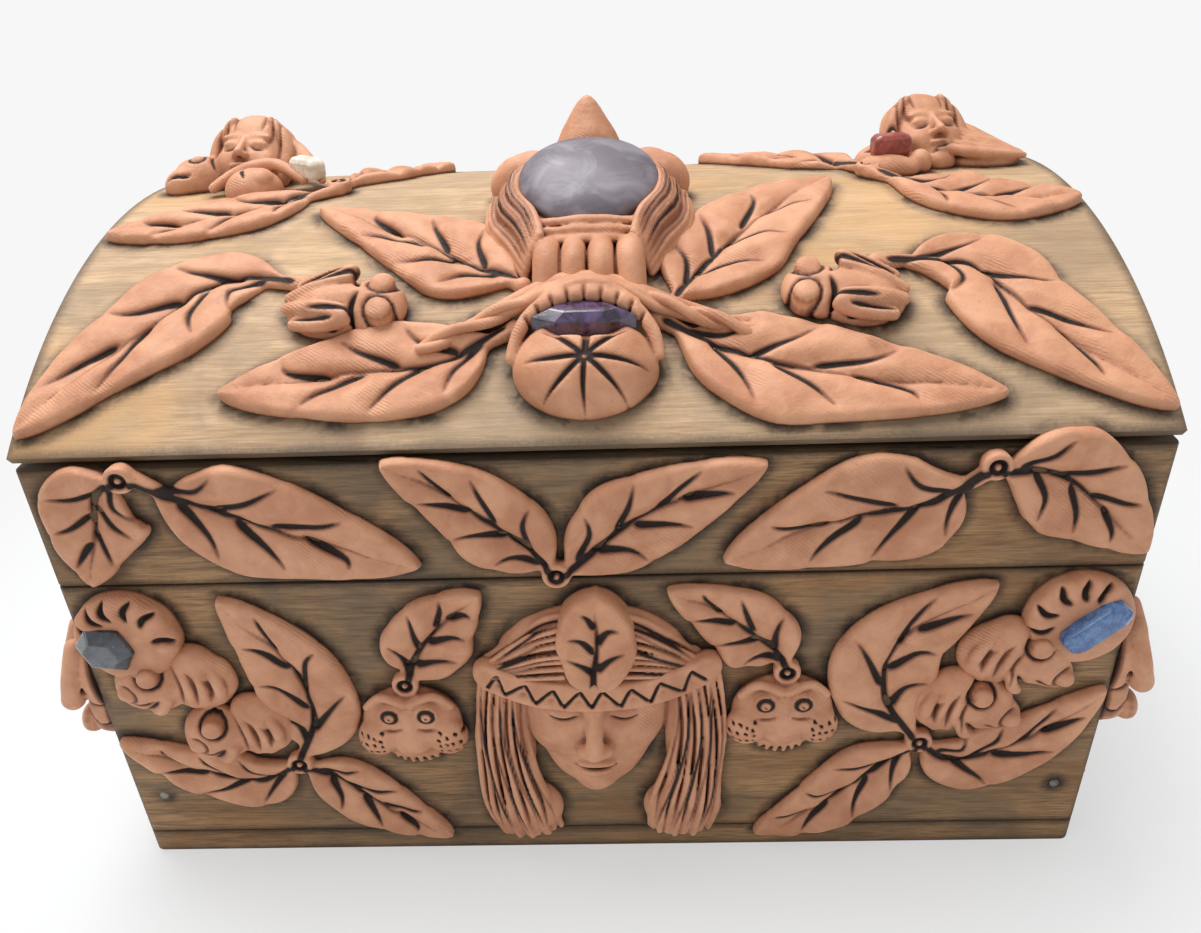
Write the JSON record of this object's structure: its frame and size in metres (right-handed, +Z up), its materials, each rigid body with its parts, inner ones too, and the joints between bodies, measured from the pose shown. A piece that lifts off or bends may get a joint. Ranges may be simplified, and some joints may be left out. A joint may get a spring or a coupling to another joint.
{
  "type": "domed trinket box",
  "caption": "Small domed wooden chest with a hinged lid, stained boards and terracotta clay reliefs of leaves, frogs, owls and a face, set with stones.",
  "frame": {"origin": "centre of the underside of the bottom board, on the surface that the box stands on", "axes": "+Z up, +X along the box to the viewer's right, -Y the decorated front, +Y the hinged back"},
  "size_m": [0.2398, 0.1799, 0.1585],
  "materials": {
    "stained_wood": "greyish brown wash, satin",
    "dome_wood": "light stain on thin bent plywood, satin",
    "clay": "terracotta clay, matte, dark stain in the grooves",
    "brass": "satin",
    "oval_stone": "frosted dark violet grey",
    "purple_stone": "polished, cut",
    "black_stone": "polished",
    "blue_stone": "polished",
    "white_stone": "satin",
    "red_stone": "satin"
  },
  "bodies": {
    "base": {"bottom_board": "stained_wood", "body_front_board": "stained_wood", "body_back_board": "stained_wood", "body_left_end": "stained_wood", "body_right_end": "stained_wood", "left_hinge_body_leaf": "brass", "left_hinge_body_screw_1": "brass", "left_hinge_body_screw_2": "brass", "left_hinge_pin": "brass", "right_hinge_body_leaf": "brass", "right_hinge_body_screw_1": "brass", "right_hinge_body_screw_2": "brass", "right_hinge_pin": "brass", "face_mask": "clay", "headband": "clay", "mask_leaf": "clay", "left_owl": "clay", "right_owl": "clay", "left_front_spray": "clay", "right_front_spray": "clay", "left_upper_frog": "clay", "left_lower_frog": "clay", "right_upper_frog": "clay", "right_lower_frog": "clay", "left_disc": "clay", "right_disc": "clay", "left_disc_stone": "black_stone", "right_disc_stone": "blue_stone", "left_end_spray": "clay", "right_end_spray": "clay"},
    "lid": {"lid_front_rail": "stained_wood", "lid_back_rail": "stained_wood", "lid_left_end": "stained_wood", "lid_right_end": "stained_wood", "lid_dome_sheet": "dome_wood", "left_hinge_lid_leaf": "brass", "left_hinge_lid_screw_1": "brass", "left_hinge_lid_screw_2": "brass", "right_hinge_lid_leaf": "brass", "right_hinge_lid_screw_1": "brass", "right_hinge_lid_screw_2": "brass", "left_rail_sprig": "clay", "centre_rail_sprig": "clay", "right_rail_sprig": "clay", "lid_collar": "clay", "oval_stone": "oval_stone", "lid_pod": "clay", "pod_stone": "purple_stone", "left_front_leaf": "clay", "right_front_leaf": "clay", "left_inner_leaf": "clay", "right_inner_leaf": "clay", "left_side_spray": "clay", "right_side_spray": "clay", "left_rear_spray": "clay", "right_rear_spray": "clay", "left_rear_figure": "clay", "right_rear_figure": "clay", "left_rear_stone": "white_stone", "right_rear_stone": "red_stone"}
  },
  "joints": [
    {"name": "lid_hinge", "type": "hinge", "parent": "base", "child": "lid", "pos_m": [0, 0.0843, 0.07975], "axis": [-1, 0, 0], "range_deg": [0, 105]}
  ]
}
